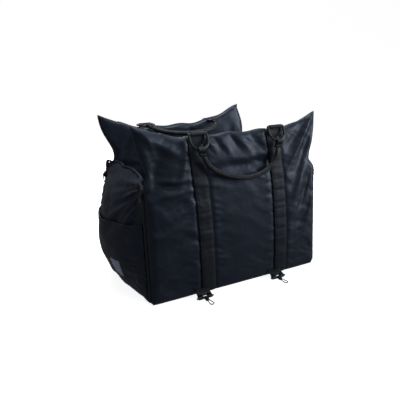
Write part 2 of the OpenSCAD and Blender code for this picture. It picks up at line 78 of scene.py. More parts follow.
class Finish:  # a material and its nodes; constants go straight on the shader's sockets
    def __init__(self, name, constants):
        self.material = bpy.data.materials.new(name)
        self.material.use_nodes = True
        self.tree = self.material.node_tree
        self.shader = self.tree.nodes["Principled BSDF"]
        for socket, value in constants.items():
            self.shader.inputs[socket].default_value = value

    def feed(self, socket, value):
        if isinstance(value, Wire):
            self.tree.links.new(value.socket, socket)
        else:
            socket.default_value = value

    def node(self, kind, settings, sockets, output=0):
        made = self.tree.nodes.new(kind)
        for key, value in settings.items():
            setattr(made, key, value)
        for key, value in sockets.items():
            self.feed(made.inputs[key], value)
        return Wire(self, made.outputs[output])

    def give(self, **sockets):
        for key, value in sockets.items():
            self.feed(self.shader.inputs[socketNames[key]], value)
        return self.material

    def coords(self, output="Object"): return self.node("ShaderNodeTexCoord", {}, {}, output)

    def split(self, vector):
        return [self.node("ShaderNodeSeparateXYZ", {}, {0: vector}, i) for i in range(3)]

    def mix(self, factor, a, b):
        return self.node("ShaderNodeMix", {"data_type": "RGBA"}, {0: factor, 6: a, 7: b}, 2)

    def noise(self, vector, scale, detail=2.0, roughness=0.5, distortion=0.0):
        sockets = {"Vector": vector, "Scale": scale, "Detail": detail, "Roughness": roughness, "Distortion": distortion}
        return self.node("ShaderNodeTexNoise", {}, sockets)

    def bump(self, height, distance, strength=1.0, normal=None):
        sockets = {"Height": height, "Distance": distance, "Strength": strength}
        if normal is not None:
            sockets["Normal"] = normal
        return self.node("ShaderNodeBump", {}, sockets)


def shade(r, g, b):
    return (r, g, b, 1.0)


def nylonFinish(name, low, high, roughness, crinkle):
    # Satin nylon: two navy tones by a slow noise, fine crinkles, and a plain weave whose two threads cross
    f = Finish(name, {"Specular IOR Level": 0.38, "Specular Tint": (0.66, 0.80, 1.0, 1.0)})
    place = f.coords()
    x, y, z = f.split(place)
    slow = f.noise(place, 14.0, 3.0)
    creases = f.noise(place, 70.0, 4.0, 0.55, 0.6)
    fine = f.noise(place, 420.0, 2.0)
    thread = 2 * math.pi / 0.0007
    weave = ((x + y) * thread).sine() * (z * thread).sine()
    first = f.bump(weave, 0.00006, 0.35)
    second = f.bump(creases, 0.0016 * crinkle, 0.5, first)
    tone = f.mix((slow * 0.7 + fine * 0.3).ramp(0.35, 0.65), shade(*low), shade(*high))
    return f.give(colour=tone, roughness=creases * 0.16 + slow * 0.08 + (roughness - 0.12), normal=second)


def webbingFinish(name, low, high, roughness, stitchAt, rib=0.0013):
    # Woven band: ribs in a herringbone from the band's own width and length, and two rows of stitches
    f = Finish(name, {"Specular IOR Level": 0.28, "Specular Tint": (0.80, 0.88, 1.0, 1.0)})
    across, along, _ = f.split(f.coords("UV"))
    place = f.coords()
    zigzag = ((across / 0.0044).part() - 0.5).size() * 0.0044
    ribs = ((along + zigzag) * (2 * math.pi / rib)).sine()
    grain = f.noise(place, 900.0, 2.0)
    slow = f.noise(place, 40.0, 3.0)
    row = (across.size() - stitchAt).size()
    dash = (along / 0.0042).part().ramp(0.12, 0.2) * (1 - (along / 0.0042).part().ramp(0.72, 0.8))
    stitch = (1 - row.ramp(0.0003, 0.0006)) * dash
    groove = 1 - row.ramp(0.0004, 0.0014)
    height = ribs * 0.10 + grain * 0.25 + stitch * 0.9 - groove * 0.9
    cloth = f.mix((slow * 0.6 + grain * 0.4 + ribs * 0.06).ramp(0.3, 0.7), shade(*low), shade(*high))
    tone = f.mix(stitch * 0.5, cloth, shade(0.03, 0.03, 0.0315))
    return f.give(colour=tone, roughness=grain * 0.2 + (roughness - 0.1), normal=f.bump(height, 0.0004, 0.7))


def metalFinish(name, colour, worn, roughness, metallic):
    # Plated metal: soft mottling, fine scratches, and a slightly brighter tone where noise says it is rubbed
    f = Finish(name, {"Metallic": metallic, "Specular IOR Level": 0.5})
    place = f.coords()
    mottle = f.noise(place, 160.0, 4.0)
    scratch = f.noise(f.node("ShaderNodeMapping", {}, {"Vector": place, "Scale": (900.0, 140.0, 140.0)}), 1.0, 3.0)
    rubbed = mottle.ramp(0.52, 0.75)
    tone = f.mix(rubbed * 0.6, shade(*colour), shade(*worn))
    gloss = scratch * 0.14 + mottle * 0.1 + (roughness - 0.1)
    return f.give(colour=tone, roughness=gloss, normal=f.bump(scratch, 0.00004, 0.4))


def labelFinish(name):
    # Satin woven label: fine cross weave and a folded border with a stitched line inside it
    f = Finish(name, {"Specular IOR Level": 0.4, "Sheen Weight": 0.2, "Sheen Roughness": 0.35})
    u, v, _ = f.split(f.coords("UV"))
    edge = u.size().top(v.size())
    weave = (u * (2 * math.pi / 0.0008)).sine() * (v * (2 * math.pi / 0.0005)).sine()
    cloud = f.noise(f.coords(), 120.0, 3.0)
    line = 1 - (edge - 0.0185).size().ramp(0.0002, 0.0006)
    tone = f.mix(cloud.ramp(0.3, 0.7), shade(0.24, 0.26, 0.37), shade(0.34, 0.365, 0.50))
    edged = f.mix(line * 0.5, tone, shade(0.10, 0.105, 0.15))
    return f.give(colour=edged, roughness=cloud * 0.2 + 0.4, normal=f.bump(weave * 0.3 - line, 0.0003, 0.6))


nylon = nylonFinish("satinNylon", (0.0052, 0.0066, 0.0128), (0.0084, 0.0105, 0.0192), 0.50, 0.35)
lining = nylonFinish("innerLining", (0.0046, 0.0059, 0.0116), (0.0076, 0.0096, 0.0176), 0.44, 0.45)
webbing = webbingFinish("ribbedWebbing", (0.0042, 0.0052, 0.0080), (0.0076, 0.0090, 0.0130), 0.58, 0.0160)
handleCloth = webbingFinish("rolledWebbing", (0.0075, 0.0077, 0.0088), (0.0135, 0.0137, 0.0152), 0.52, 0.0165)
strapCloth = webbingFinish("glossyTape", (0.0050, 0.0052, 0.0058), (0.0095, 0.0098, 0.0108), 0.36, 0.0165, 0.0008)
zipCloth = webbingFinish("zipTape", (0.0045, 0.0048, 0.0060), (0.0085, 0.0090, 0.0110), 0.60, 0.0030, 0.0009)
bindingCloth = webbingFinish("grosgrain", (0.0020, 0.0024, 0.0036), (0.0038, 0.0044, 0.0062), 0.62, 0.0100, 0.0010)
blackMetal = metalFinish("blackEnamel", (0.0024, 0.0026, 0.0032), (0.0090, 0.0095, 0.0110), 0.42, 0.1)
gunMetal = metalFinish("gunMetal", (0.115, 0.122, 0.135), (0.22, 0.23, 0.25), 0.30, 1.0)
coilPlastic = metalFinish("coilNylon", (0.0060, 0.0062, 0.0072), (0.014, 0.0145, 0.016), 0.38, 0.0)
labelCloth = labelFinish("wovenLabel")
print("finishes made")


def smooth(x):
    x = np.clip(x, 0, 1)
    return x * x * (3 - 2 * x)


def roundOff(distance, radius):  # quarter circle: 0 at the edge, 1 from one radius in
    near = 1 - np.clip(distance / radius, 0, 1)
    return np.sqrt(np.maximum(0, 1 - near * near))


def hump(x, z, middle, angle, length, width, height):
    # a soft ridge: height falls off as a bell along its run and, faster, across it
    c, s = math.cos(math.radians(angle)), math.sin(math.radians(angle))
    along = (x - middle[0]) * c + (z - middle[1]) * s
    across = (z - middle[1]) * c - (x - middle[0]) * s
    return height * np.exp(-(along / length) ** 2 - (across / width) ** 2)


def ripples(a, b, seed, waves, shortest, longest):
    # a sum of sine waves in random directions, each bent by a slower one, so no crease is straight
    rng = np.random.default_rng(seed)
    bentA = a + 0.012 * np.sin(b * 41 + seed) + 0.006 * np.sin(b * 97 + 2 * seed)
    bentB = b + 0.012 * np.sin(a * 37 + 1.7 * seed) + 0.006 * np.sin(a * 89 + seed)
    total = np.zeros_like(a, dtype=float)
    for _ in range(waves):
        length, turn, phase = rng.uniform(shortest, longest), rng.uniform(0, math.pi), rng.uniform(0, 2 * math.pi)
        total = total + length * np.sin((bentA * math.cos(turn) + bentB * math.sin(turn)) * 2 * math.pi / length + phase)
    return total / (longest * math.sqrt(waves))


def spacing(count, low, high, ends=0.5):  # steps that crowd towards both ends
    t = np.linspace(0, 1, count)
    return low + (high - low) * (t * (1 - ends) + ends * (1 - np.cos(math.pi * t)) / 2)


def quads(rows, cols, start=0, wrap=False):
    # four corners of each cell of a grid, going round; a wrapped grid joins its last column to its first
    i, j = np.meshgrid(np.arange(cols if wrap else cols - 1), np.arange(rows - 1))
    nxt = (i + 1) % cols
    return (np.stack([j * cols + i, j * cols + nxt, (j + 1) * cols + nxt, (j + 1) * cols + i], -1).reshape(-1, 4) + start)


def addPiece(name, points, faces, body, material, slot, stands=(), uv=None, caps=()):
    # makes the mesh, turns it outwards by the sign of its volume, and puts it on its body
    points = np.asarray(points, float).reshape(-1, 3)
    faces = np.asarray(faces)
    a, b, c, d = (points[faces[:, k]] for k in range(4))
    volume = np.einsum("ij,ij->i", a, np.cross(b, c) + np.cross(c, d)).sum()
    for cap in caps:
        loop = points[np.asarray(cap)]
        volume += (np.cross(loop[1:-1], loop[2:]) @ loop[0]).sum()
    every = [list(map(int, f)) for f in faces] + [list(map(int, f)) for f in caps]
    if volume < 0:
        every = [f[::-1] for f in every]
    mesh = bpy.data.meshes.new(name)
    mesh.from_pydata(points.tolist(), [], every)
    mesh.shade_smooth()
    if uv is not None:
        layer = mesh.uv_layers.new(name="UVMap")
        corner = np.empty(len(mesh.loops), np.int32)
        mesh.loops.foreach_get("vertex_index", corner)
        layer.data.foreach_set("uv", np.asarray(uv, np.float32).reshape(-1, 2)[corner].ravel())
    mesh.materials.append(material)
    mesh.validate()
    piece = bpy.data.objects.new(name, mesh)
    bpy.context.scene.collection.objects.link(piece)
    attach(piece, body)
    if stands:
        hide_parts(*stands)
    return piece


def shell(outer, inner):
    # closed solid between two grids of the same shape: two skins and a rim round them
    rows, cols = outer.shape[:2]
    count = rows * cols
    skin = quads(rows, cols)
    i, j = np.arange(cols - 1), np.arange(rows - 1)
    last = (rows - 1) * cols
    edges = np.concatenate([
        np.stack([i, i + 1], -1), np.stack([last + i + 1, last + i], -1),
        np.stack([(j + 1) * cols, j * cols], -1), np.stack([(j + 1) * cols - 1, (j + 2) * cols - 1], -1)])
    rim = np.stack([edges[:, 1], edges[:, 0], edges[:, 0] + count, edges[:, 1] + count], -1)
    return np.concatenate([outer.reshape(-1, 3), inner.reshape(-1, 3)]), np.concatenate([skin, skin[:, ::-1] + count, rim])


def sweep(centre, side, up, profile):
    # a closed profile carried along a path: each ring is the path's point plus the profile along side and up
    rings = centre[:, None] + side[:, None] * profile[..., :1] + up[:, None] * profile[..., 1:]
    rows, cols = rings.shape[:2]
    return rings.reshape(-1, 3), quads(rows, cols, wrap=True), [np.arange(cols)[::-1], np.arange(cols) + (rows - 1) * cols]


def bandProfile(width, thick, steps=5):  # a flat strap's section: a rectangle whose short ends are half circles
    turn = np.linspace(-90, 90, steps) * math.pi / 180
    right = np.stack([width / 2 - thick / 2 + thick / 2 * np.cos(turn), thick / 2 * np.sin(turn)], -1)
    flat = np.linspace(width / 2 - thick, -(width / 2 - thick), 9)
    top = np.stack([flat, np.full_like(flat, thick / 2)], -1)
    return np.concatenate([right, top, -right, -top])


def onPath(points, count):  # evenly spaced points on a smooth line through the given ones
    points = np.asarray(points, float)
    run = np.concatenate([[0], np.cumsum(np.linalg.norm(np.diff(points, axis=0), axis=1))])
    t = np.linspace(0, run[-1], count)
    slope = np.gradient(points, run, axis=0)
    k = np.clip(np.searchsorted(run, t, "right") - 1, 0, len(run) - 2)
    h = (run[k + 1] - run[k])[:, None]
    s = ((t - run[k])[:, None]) / h
    return ((2 * s**3 - 3 * s**2 + 1) * points[k] + (s**3 - 2 * s**2 + s) * h * slope[k]
            + (-2 * s**3 + 3 * s**2) * points[k + 1] + (s**3 - s**2) * h * slope[k + 1]), t


def unit(v):
    return v / np.linalg.norm(v, axis=-1, keepdims=True)


# side: -1 front, 1 back. Pairs are for the left and right half: lift and bend of the raised corners, flatTop where
# their rise starts, waists (depth, middle, width) that draw the sides in above the zips; slant leans the webbing.
# Folds are (middle x, middle z, angle, length, width, height), metres and degrees
walls = {
    "front": {
        "side": -1, "leftPeak": -0.269, "rightPeak": 0.251, "lift": (0.0, 0.0), "flatTop": (0.142, 0.142),
        "bend": (1.5, 1.5), "waists": ((0.012, 0.27, 0.20), (0.018, 0.17, 0.34)), "seed": 3, "slant": 0.022,
        "folds": [
            (-0.216, 0.335, 76, 0.060, 0.024, -0.0150), (-0.205, 0.392, -32, 0.060, 0.012, 0.0080),
            (-0.232, 0.400, -62, 0.035, 0.007, 0.0030), (-0.185, 0.292, 2, 0.040, 0.008, -0.0055),
            (-0.190, 0.306, -8, 0.040, 0.007, 0.0040), (-0.200, 0.272, 12, 0.045, 0.008, 0.0040),
            (-0.150, 0.345, 74, 0.045, 0.010, 0.0040), (-0.160, 0.250, 20, 0.050, 0.010, -0.0035),
            (-0.175, 0.225, 24, 0.055, 0.009, 0.0030), (-0.078, 0.384, -54, 0.026, 0.008, 0.0031),
            (-0.060, 0.388, -56, 0.026, 0.006, -0.0028), (-0.034, 0.374, -60, 0.030, 0.009, 0.0031),
            (-0.010, 0.384, -58, 0.026, 0.007, -0.0031), (0.020, 0.372, -52, 0.030, 0.009, 0.0034),
            (0.050, 0.380, -50, 0.026, 0.007, -0.0028), (0.074, 0.376, -60, 0.028, 0.008, 0.0028),
            (0.015, 0.345, 3, 0.085, 0.013, 0.0050), (0.010, 0.322, 2, 0.090, 0.012, -0.0045),
            (0.193, 0.365, 56, 0.085, 0.007, 0.0055), (0.214, 0.355, 60, 0.090, 0.012, -0.0080),
            (0.172, 0.372, 50, 0.060, 0.012, -0.0045), (0.180, 0.250, 66, 0.060, 0.010, 0.0050),
            (0.205, 0.235, 70, 0.060, 0.009, -0.0060), (0.226, 0.190, 74, 0.070, 0.009, 0.0045),
            (0.190, 0.150, 60, 0.050, 0.010, -0.0040), (0.165, 0.185, 62, 0.040, 0.008, 0.0030),
            (-0.205, 0.110, 28, 0.070, 0.011, 0.0040), (-0.185, 0.075, 30, 0.070, 0.010, -0.0035),
            (-0.180, 0.150, 26, 0.060, 0.010, -0.0030), (-0.215, 0.180, 20, 0.040, 0.009, 0.0035),
            (-0.230, 0.055, 40, 0.050, 0.010, 0.0030)],
    },
    "back": {
        "side": 1, "leftPeak": -0.257, "rightPeak": 0.209, "lift": (0.009, 0.014), "flatTop": (0.120, 0.020),
        "bend": (1.5, 1.7), "waists": ((0.031, 0.30, 0.36), (0.018, 0.25, 0.30)), "seed": 8, "slant": 0.0,
        "folds": [
            (-0.210, 0.350, 70, 0.060, 0.018, -0.0070), (0.205, 0.350, 110, 0.060, 0.018, -0.0070),
            (-0.190, 0.295, -6, 0.045, 0.008, 0.0045), (0.190, 0.295, 6, 0.045, 0.008, 0.0045),
            (0.0, 0.372, 8, 0.080, 0.012, 0.0028), (0.0, 0.345, -4, 0.080, 0.012, -0.0040),
            (-0.045, 0.383, -55, 0.026, 0.008, 0.0028), (0.030, 0.380, -60, 0.026, 0.008, 0.0028),
            (-0.008, 0.384, -58, 0.026, 0.007, -0.0025), (-0.190, 0.120, 28, 0.070, 0.011, 0.0035),
            (0.185, 0.150, -30, 0.070, 0.011, 0.0035), (0.200, 0.230, -60, 0.050, 0.009, -0.0040)],
    },
}


def topLine(x, wall):  # straight in the middle, then rising to each pulled-up corner as a power of the way along
    peak = np.where(x < 0, abs(wall["leftPeak"]), wall["rightPeak"])
    flat, bend = (np.where(x < 0, *wall[key]) for key in ("flatTop", "bend"))
    s = np.clip((np.abs(x) - flat) / (peak - flat), 0, 1)
    lift = np.where(x < 0, *wall["lift"])
    return bag["wallTop"] + (bag["peakTop"] + lift - bag["wallTop"]) * s**bend


def lowerRound(z):  # how far the bag's lower corners are drawn in: a quarter circle near the floor
    return bag["cornerIn"] * (1 - roundOff(z + 0.002, 0.022))


def sideLine(z, sign, wall):  # upright along the zip, drawn in above it, then out to the corner
    peak = np.where(sign < 0, abs(wall["leftPeak"]), wall["rightPeak"])
    s = np.clip((z - bag["gussetTop"]) / (bag["peakTop"] - bag["gussetTop"]), 0, 1)
    depth, middle, width = (np.where(sign < 0, a, b) for a, b in zip(*wall["waists"]))
    zipSide = 0.006 * np.exp(-(((z - 0.21) / 0.08) ** 2)) * (wall["side"] * sign < 0)
    waist = depth * np.exp(-((s - middle) / width) ** 2) * smooth(s * 5)
    return bag["halfWidth"] + (peak - bag["halfWidth"]) * s**1.6 - waist - zipSide - lowerRound(z)


def webMiddle(z, sign, wall):  # a webbing's middle line, which slants a little from top to bottom
    fall = (bag["wallTop"] - z) / bag["wallTop"]
    return sign * bag["webX"] + wall["slant"] * (fall - 0.28)


def wallFace(x, z, wall, seams=True):
    # outward distance of a wall's outer face: puff, less at the sides, minus the webbing seams' channels, plus folds
    tall = topLine(x, wall) - bag["floor"]
    rise = np.clip((z - bag["floor"]) / tall, 0, 1)
    edge = sideLine(z, x, wall)
    away = np.clip(np.abs(x) / edge, 0, 1)
    out = bag["faceY"] + bag["puff"] * np.sin(math.pi * rise) ** 0.8 * (1 - 0.55 * away**5)
    pull = 0
    for sign in (-1, 1):
        middle = webMiddle(z, sign, wall)
        for rim in (-1, 1):
            fromSeam = np.abs(x - middle - rim * bag["webHalf"])
            pull = pull + 0.0030 * np.exp(-(fromSeam / 0.006) ** 2)
            pucker = ripples(x * 0.3 + 7 * sign + rim, z, wall["seed"] + 2 * sign + rim, 6, 0.013, 0.030)
            outside = np.clip(rim * (x - middle) / bag["webHalf"] - 0.9, 0, 1)
            pull = pull - 0.0013 * pucker * np.exp(-(fromSeam / 0.022) ** 2) * (0.25 + outside)
    out = out - pull * (1 if seams else 0.6)
    calm = np.exp(-((x - 0.03) / 0.10) ** 2 - ((z - 0.16) / 0.13) ** 2)
    for fold in wall["folds"]:
        out = out + hump(x, z, fold[:2], *fold[2:])
    out = out + 0.0012 * ripples(x * 0.8, z * 1.35, wall["seed"], 9, 0.028, 0.075) * (1 - 0.75 * calm)
    crisp = 1 - np.abs(ripples(x, z * 1.4, wall["seed"] + 40, 7, 0.018, 0.045))
    return out + 0.0006 * crisp * (1 - 0.8 * calm)


def wallGrid(wall, cols, rows, bottom=0.0005):
    # x and z of a wall's grid, and how far inside its edges each point is: 0 at the rim, 1 where the cloth is full
    u, v = np.meshgrid(spacing(cols, -1, 1, 0.55), spacing(rows, 0, 1, 0.5))
    peak = np.where(u < 0, abs(wall["leftPeak"]), wall["rightPeak"])
    top = topLine(u * peak, wall)
    z = bottom + (top - bottom) * v
    x = u * sideLine(z, u, wall)
    z = z + 0.0022 * np.sin(x * 67 + wall["seed"]) * smooth((v - 0.9) * 10) * (np.abs(x) < 0.2)
    tall = top - bottom
    inside = roundOff((1 - np.abs(u)) * 0.25, 0.020) * roundOff((1 - v) * tall, 0.012) * roundOff(v * tall, 0.016)
    return x, z, inside


wallCloth = {"cols": 190, "rows": 150, "seamLift": 0.0006, "backing": 0.0012, "soft": 0.55}
wallLining = {"cols": 110, "rows": 90, "low": 0.0070, "narrow": 0.985, "short": 0.992, "thick": 0.0030,
              "crown": 0.0012, "plump": 0.0060, "foldShare": 0.7, "foldsAbove": 0.24, "soft": 0.3}
for name, wall in walls.items():
    # outer cloth: the seam's flat line, raised to the wall's face by how far inside its edges each point is
    x, z, inside = wallGrid(wall, wallCloth["cols"], wallCloth["rows"])
    outY = bag["seamY"] + (wallFace(x, z, wall) - bag["seamY"]) * inside + wallCloth["seamLift"]
    inY = bag["innerY"] + wallCloth["backing"] + (bag["seamY"] - bag["innerY"] - wallCloth["backing"]) * (1 - inside)
    outer, inner = (np.stack([x, wall["side"] * y, z], -1) for y in (outY, inY))
    piece = addPiece(name + "Wall", *shell(outer, inner), "bag", nylon, "nylon", [name + "_shell", name + "_padding"])
    # lining: ripples and a soft swelling towards the inside, with the upper folds pressed through from the outer cloth
    low = wallLining["low"]
    x, z, inside = wallGrid(wall, wallLining["cols"], wallLining["rows"], low)
    x, crown = x * wallLining["narrow"], wallLining["crown"] * ripples(x, z, wall["seed"] + 5, 8, 0.03, 0.09)
    z = low + (z - low) * wallLining["short"]
    sideways = np.sin(math.pi * np.clip(0.5 + 0.5 * x / bag["halfWidth"], 0, 1)).clip(0) ** 0.5
    plump = wallLining["plump"] * smooth((z - 0.05) / 0.12) * sideways
    for fold in wall["folds"]:
        plump = plump - wallLining["foldShare"] * hump(x, z, fold[:2], *fold[2:]) * (z > wallLining["foldsAbove"])
    swelling = inside * (wallLining["thick"] + crown + plump)
    nearY = np.maximum(bag["innerY"] + wallCloth["seamLift"] - swelling, bag["liningLimit"])
    farY = bag["innerY"] + wallCloth["backing"] + 0 * inside
    outer, inner = (np.stack([x, wall["side"] * y, z], -1) for y in (nearY, farY))
    piece = addPiece(name + "WallLining", *shell(outer, inner), "bag", lining, "lining", [name + "_lining"])
print("walls made")

gussets = {
    "left": {"side": -1, "seed": 21, "gather": 0.0052, "small": 0.0036, "tuck": 0.008},
    "right": {"side": 1, "seed": 34, "gather": 0.0048, "small": 0.0030, "tuck": 0.006},
}


def sideShare(y):  # how far the gusset bulges across its depth: a cosine, nothing at the zips
    return np.where(np.abs(y) >= bag["flangeY"], 0, np.cos(math.pi / 2 * np.clip(y / bag["flangeY"], -1, 1))) ** 0.8


def gussetTopLine(y):  # an arch over the zips' tops, sitting higher towards the back wall
    arch = 1 - np.clip(np.abs(y) / bag["flangeY"], 0, 1) ** 2.5
    return bag["gussetTop"] + bag["gussetArch"] * arch + 0.020 * smooth((y - 0.02) / 0.13)


def riseShare(y, z):  # and up its height: a sine arch with its top leaning in
    s = np.clip((z - bag["floor"]) / (gussetTopLine(y) - bag["floor"]), 0, 1)
    return np.sin(math.pi * s**0.9).clip(0) ** 0.7 - bag["gussetLean"] * s**8


def gussetFace(y, z, gusset, folds=1.0):
    # distance from the middle: the bulge, plus gathers fanning from both zip tops and short creases along the zips
    base = bag["gussetX"] + bag["gussetPuff"] * sideShare(y) * riseShare(y, z)
    base = base - lowerRound(z) - gusset["tuck"] * smooth((z - 0.250) / 0.060) * smooth((y - 0.015) / 0.13)
    reach = smooth((bag["flangeY"] - np.abs(y)) / 0.03)
    total = 0
    for end, share in ((-1, 1.0), (1, 0.7)):
        dy, dz = (y - end * 0.165) * -end, bag["gussetTop"] + 0.012 - z
        far, turn = np.hypot(dy, dz), np.arctan2(dz, dy)
        fan = np.sin(turn * 19 + 1.3 * end + 22 * far) + 0.6 * np.sin(turn * 31 + 2 - 15 * far)
        total = total + share * gusset["gather"] * 0.75 * fan * smooth(far / 0.04) * np.exp(-((far / 0.135) ** 2))
        shortOnes = ripples(y * 0.35, z + 0.18 * (y - end * 0.15) * end, gusset["seed"] + end, 7, 0.012, 0.026)
        total = total + gusset["small"] * shortOnes * np.exp(-((np.abs(y - end * 0.150)) / 0.034) ** 1.5)
    crisp = 1 - np.abs(ripples(y, z, gusset["seed"] + 9, 6, 0.018, 0.04))
    total = total + 0.0026 * ripples(y, z, gusset["seed"] + 3, 8, 0.035, 0.090) + 0.0010 * crisp
    return base + folds * total * reach * smooth((z - 0.004) / 0.03)


def hemLine(y):  # the pocket's mouth, rising as a square towards both zips
    return bag["hemZ"] + bag["hemRise"] * (y / bag["flangeY"]) ** 2


def pocketFace(y, z, gusset):  # the gusset's face, plus a gap that opens towards the hem
    share = np.clip((z - 0.012) / (hemLine(y) - 0.012), 0, 1)
    low = 1 - share
    gap = 0.22 * bag["pocketGap"] * sideShare(y) * np.sin(math.pi / 2 * share)
    besideZip = np.exp(-((np.abs(y) - 0.136) / 0.022) ** 2) * smooth(share * 6) * smooth((1 - share) * 5)
    creases = 0.0016 * np.sin(z * 300 + 3 * np.sin(z * 70)) * besideZip
    wave = creases + 0.0020 * np.sin(y * 58 + gusset["seed"]) * share**3 * sideShare(y)
    return gussetFace(y, z, gusset, 0.65 * low + 0.45) + 0.0012 + gap + wave


gussetCloth = {"halfY": 0.1585, "low": 0.0012, "topIn": 0.0002, "thick": 0.0088, "rim": 0.55, "soft": 0.6}
gussetLining = {"halfY": 0.1590, "low": 0.0040, "topIn": 0.0045, "thick": 0.0018, "gap": 0.0001, "count": 76, "soft": 0.3}
pocket = {"halfY": 0.1515, "low": 0.0125, "thick": 0.0016, "hemThick": 0.0012, "hemTall": 0.0130,
          "stitchDown": 0.0125, "stitchWide": 0.0014, "stitchDeep": 0.0008, "soft": 0.2}
binding = {"halfY": 0.163, "straightY": 0.157, "count": 140, "halfX": 0.0030, "halfZ": 0.0036, "sides": 18,
           "endWide": 0.013, "endThick": 0.0018, "endLong": 0.035, "endCount": 26}


def gussetThick(y, z):  # full in the middle of the sheet, a little over half at its top edge
    return gussetCloth["thick"] * (gussetCloth["rim"] + 0.45 * roundOff(gussetTopLine(y) + 0.004 - z, 0.02))


for name, gusset in gussets.items():
    side = gusset["side"]
    place = lambda xs, y, z: np.stack([side * xs, y, z], -1)
    y, v = np.meshgrid(spacing(120, -gussetCloth["halfY"], gussetCloth["halfY"], 0.3), spacing(120, 0, 1, 0.2))
    z = gussetCloth["low"] + (gussetTopLine(y) - gussetCloth["topIn"]) * v
    face = gussetFace(y, z, gusset)
    skins = shell(place(face, y, z), place(face - gussetThick(y, z), y, z))
    piece = addPiece(name + "Gusset", *skins, "bag", nylon, "nylon", [name + "_gusset_shell", name + "_gusset_padding"])
    # lining: the outer cloth's inner skin again, a hair further in
    across = np.linspace(-gussetLining["halfY"], gussetLining["halfY"], gussetLining["count"])
    y, v = np.meshgrid(across, np.linspace(0, 1, gussetLining["count"]))
    z = gussetLining["low"] + (gussetTopLine(y) - gussetLining["topIn"]) * v
    inFace = gussetFace(y, z, gusset) - gussetThick(y, z) - gussetLining["gap"]
    skins = shell(place(inFace, y, z), place(inFace - gussetLining["thick"], y, z))
    piece = addPiece(name + "GussetLining", *skins, "bag", lining, "lining", [name + "_gusset_lining"])
    # pocket: one sheet of padded nylon with a turned hem, thicker there and dipping along the hem's stitches
    y, v = np.meshgrid(spacing(110, -pocket["halfY"], pocket["halfY"], 0.4), np.linspace(0, 1, 76))
    z = pocket["low"] + (hemLine(y) - pocket["low"]) * v
    face = pocketFace(y, z, gusset)
    hem = smooth((z - hemLine(y) + pocket["hemTall"]) / 0.002)
    dip = np.exp(-((z - hemLine(y) + pocket["stitchDown"]) / pocket["stitchWide"]) ** 2)
    thick = pocket["thick"] + pocket["hemThick"] * hem
    skins = shell(place(face + thick - pocket["stitchDeep"] * dip, y, z), place(face, y, z))
    piece = addPiece(name + "Pocket", *skins, "bag", nylon, "nylon", [name + "_pocket"])
    # binding: a folded tape over the gusset's top edge, wandering a little with the gathers
    yLine = np.linspace(-binding["halfY"], binding["halfY"], binding["count"])
    topX = gussetFace(yLine, gussetTopLine(yLine) - 0.001, gusset) - 0.0030
    straightY = binding["straightY"]
    topX = np.where(np.abs(yLine) > straightY, np.interp(np.clip(yLine, -straightY, straightY), yLine, topX), topX)
    line = place(topX, yLine, gussetTopLine(yLine) + 0.0010 + 0.0008 * np.sin(yLine * 120))
    forward = unit(np.gradient(line, axis=0))
    up = np.tile([0.0, 0.0, 1.0], (len(line), 1))
    across = unit(np.cross(forward, up))
    turn = np.linspace(0, 2 * math.pi, binding["sides"], endpoint=False)
    c, s = np.cos(turn), np.sin(turn)
    boxy = [binding["halfX"] * np.sign(c) * np.abs(c) ** 0.7, binding["halfZ"] * np.sign(s) * np.abs(s) ** 0.6]
    ring = np.stack(boxy, -1)
    points, faces, caps = sweep(line, across, up, ring)
    uv = np.stack(np.meshgrid(turn * 0.0035 - 0.011, yLine), -1)
    addPiece(name + "Binding", points, faces, "bag", bindingCloth, "binding", [name + "_binding"], uv=uv, caps=caps)
    # the binding's doubled end, standing up at the back corner
    ex, ez = float(topX[-12]), float(gussetTopLine(np.array(0.145)))
    bends = [(-0.001, 0.140, 0), (0, 0.143, 0.0090), (0.004, 0.1475, 0.0105), (0.0075, 0.1500, 0.003), (0.009, 0.1500, -0.012)]
    endLine, _ = onPath([(side * (ex + q), y, ez + h) for q, y, h in bends], binding["endCount"])
    forward = unit(np.gradient(endLine, axis=0))
    across = unit(np.tile([side * 0.35, 0.94, 0.0], (len(endLine), 1)))
    section = bandProfile(binding["endWide"], binding["endThick"])
    points, faces, caps = sweep(endLine, across, unit(np.cross(across, forward)), section)
    uv = np.stack(np.meshgrid(section[:, 0], np.linspace(0, binding["endLong"], binding["endCount"])), -1)
    addPiece(name + "BindingEnd", points, faces, "bag", bindingCloth, "binding", uv=uv, caps=caps)
print("gussets and pockets made")

label = {"size": 0.042, "middleY": -0.060, "middleZ": 0.077, "count": 33, "thick": 0.0012, "edgeDrop": 0.0005}
# a square sheet on the pocket's face, thinner round its edge
steps = np.linspace(-0.5, 0.5, label["count"]) * label["size"]
u, v = np.meshgrid(steps, steps)
y, z = u + label["middleY"], v + label["middleZ"]
face = pocketFace(y, z, gussets["left"]) + pocket["thick"]
edge = np.maximum(np.abs(u), np.abs(v)) / label["size"] * 2
lifts = label["thick"] - label["edgeDrop"] * smooth((edge - 0.9) * 10), 0.0001
outer, inner = (np.stack([-(face + lift), y, z], -1) for lift in lifts)
uv = np.concatenate([np.stack([u, v], -1).reshape(-1, 2)] * 2)
addPiece("labelPatch", *shell(outer, inner), "bag", labelCloth, "label", ["label_patch"], uv=uv)

base = {"halfX": 0.2498, "halfY": 0.1660, "sides": 120, "squareness": 0.11,
        "rings": (0.5, 0.9, 0.97, 0.995, 1.0, 0.995, 0.97, 0.9, 0.5),
        "heights": (0.0021, 0.0021, 0.0020, 0.0016, 0.0010, 0.0005, 0.0002, 0, 0),
        "liningX": 0.2385, "liningY": 0.1632, "liningRound": 0.012, "liningLow": 0.0023, "liningTop": 0.0055,
        "liningThick": 0.0006, "crown": 0.0012, "ripple": 0.0006, "seed": 51, "soft": 0.2}
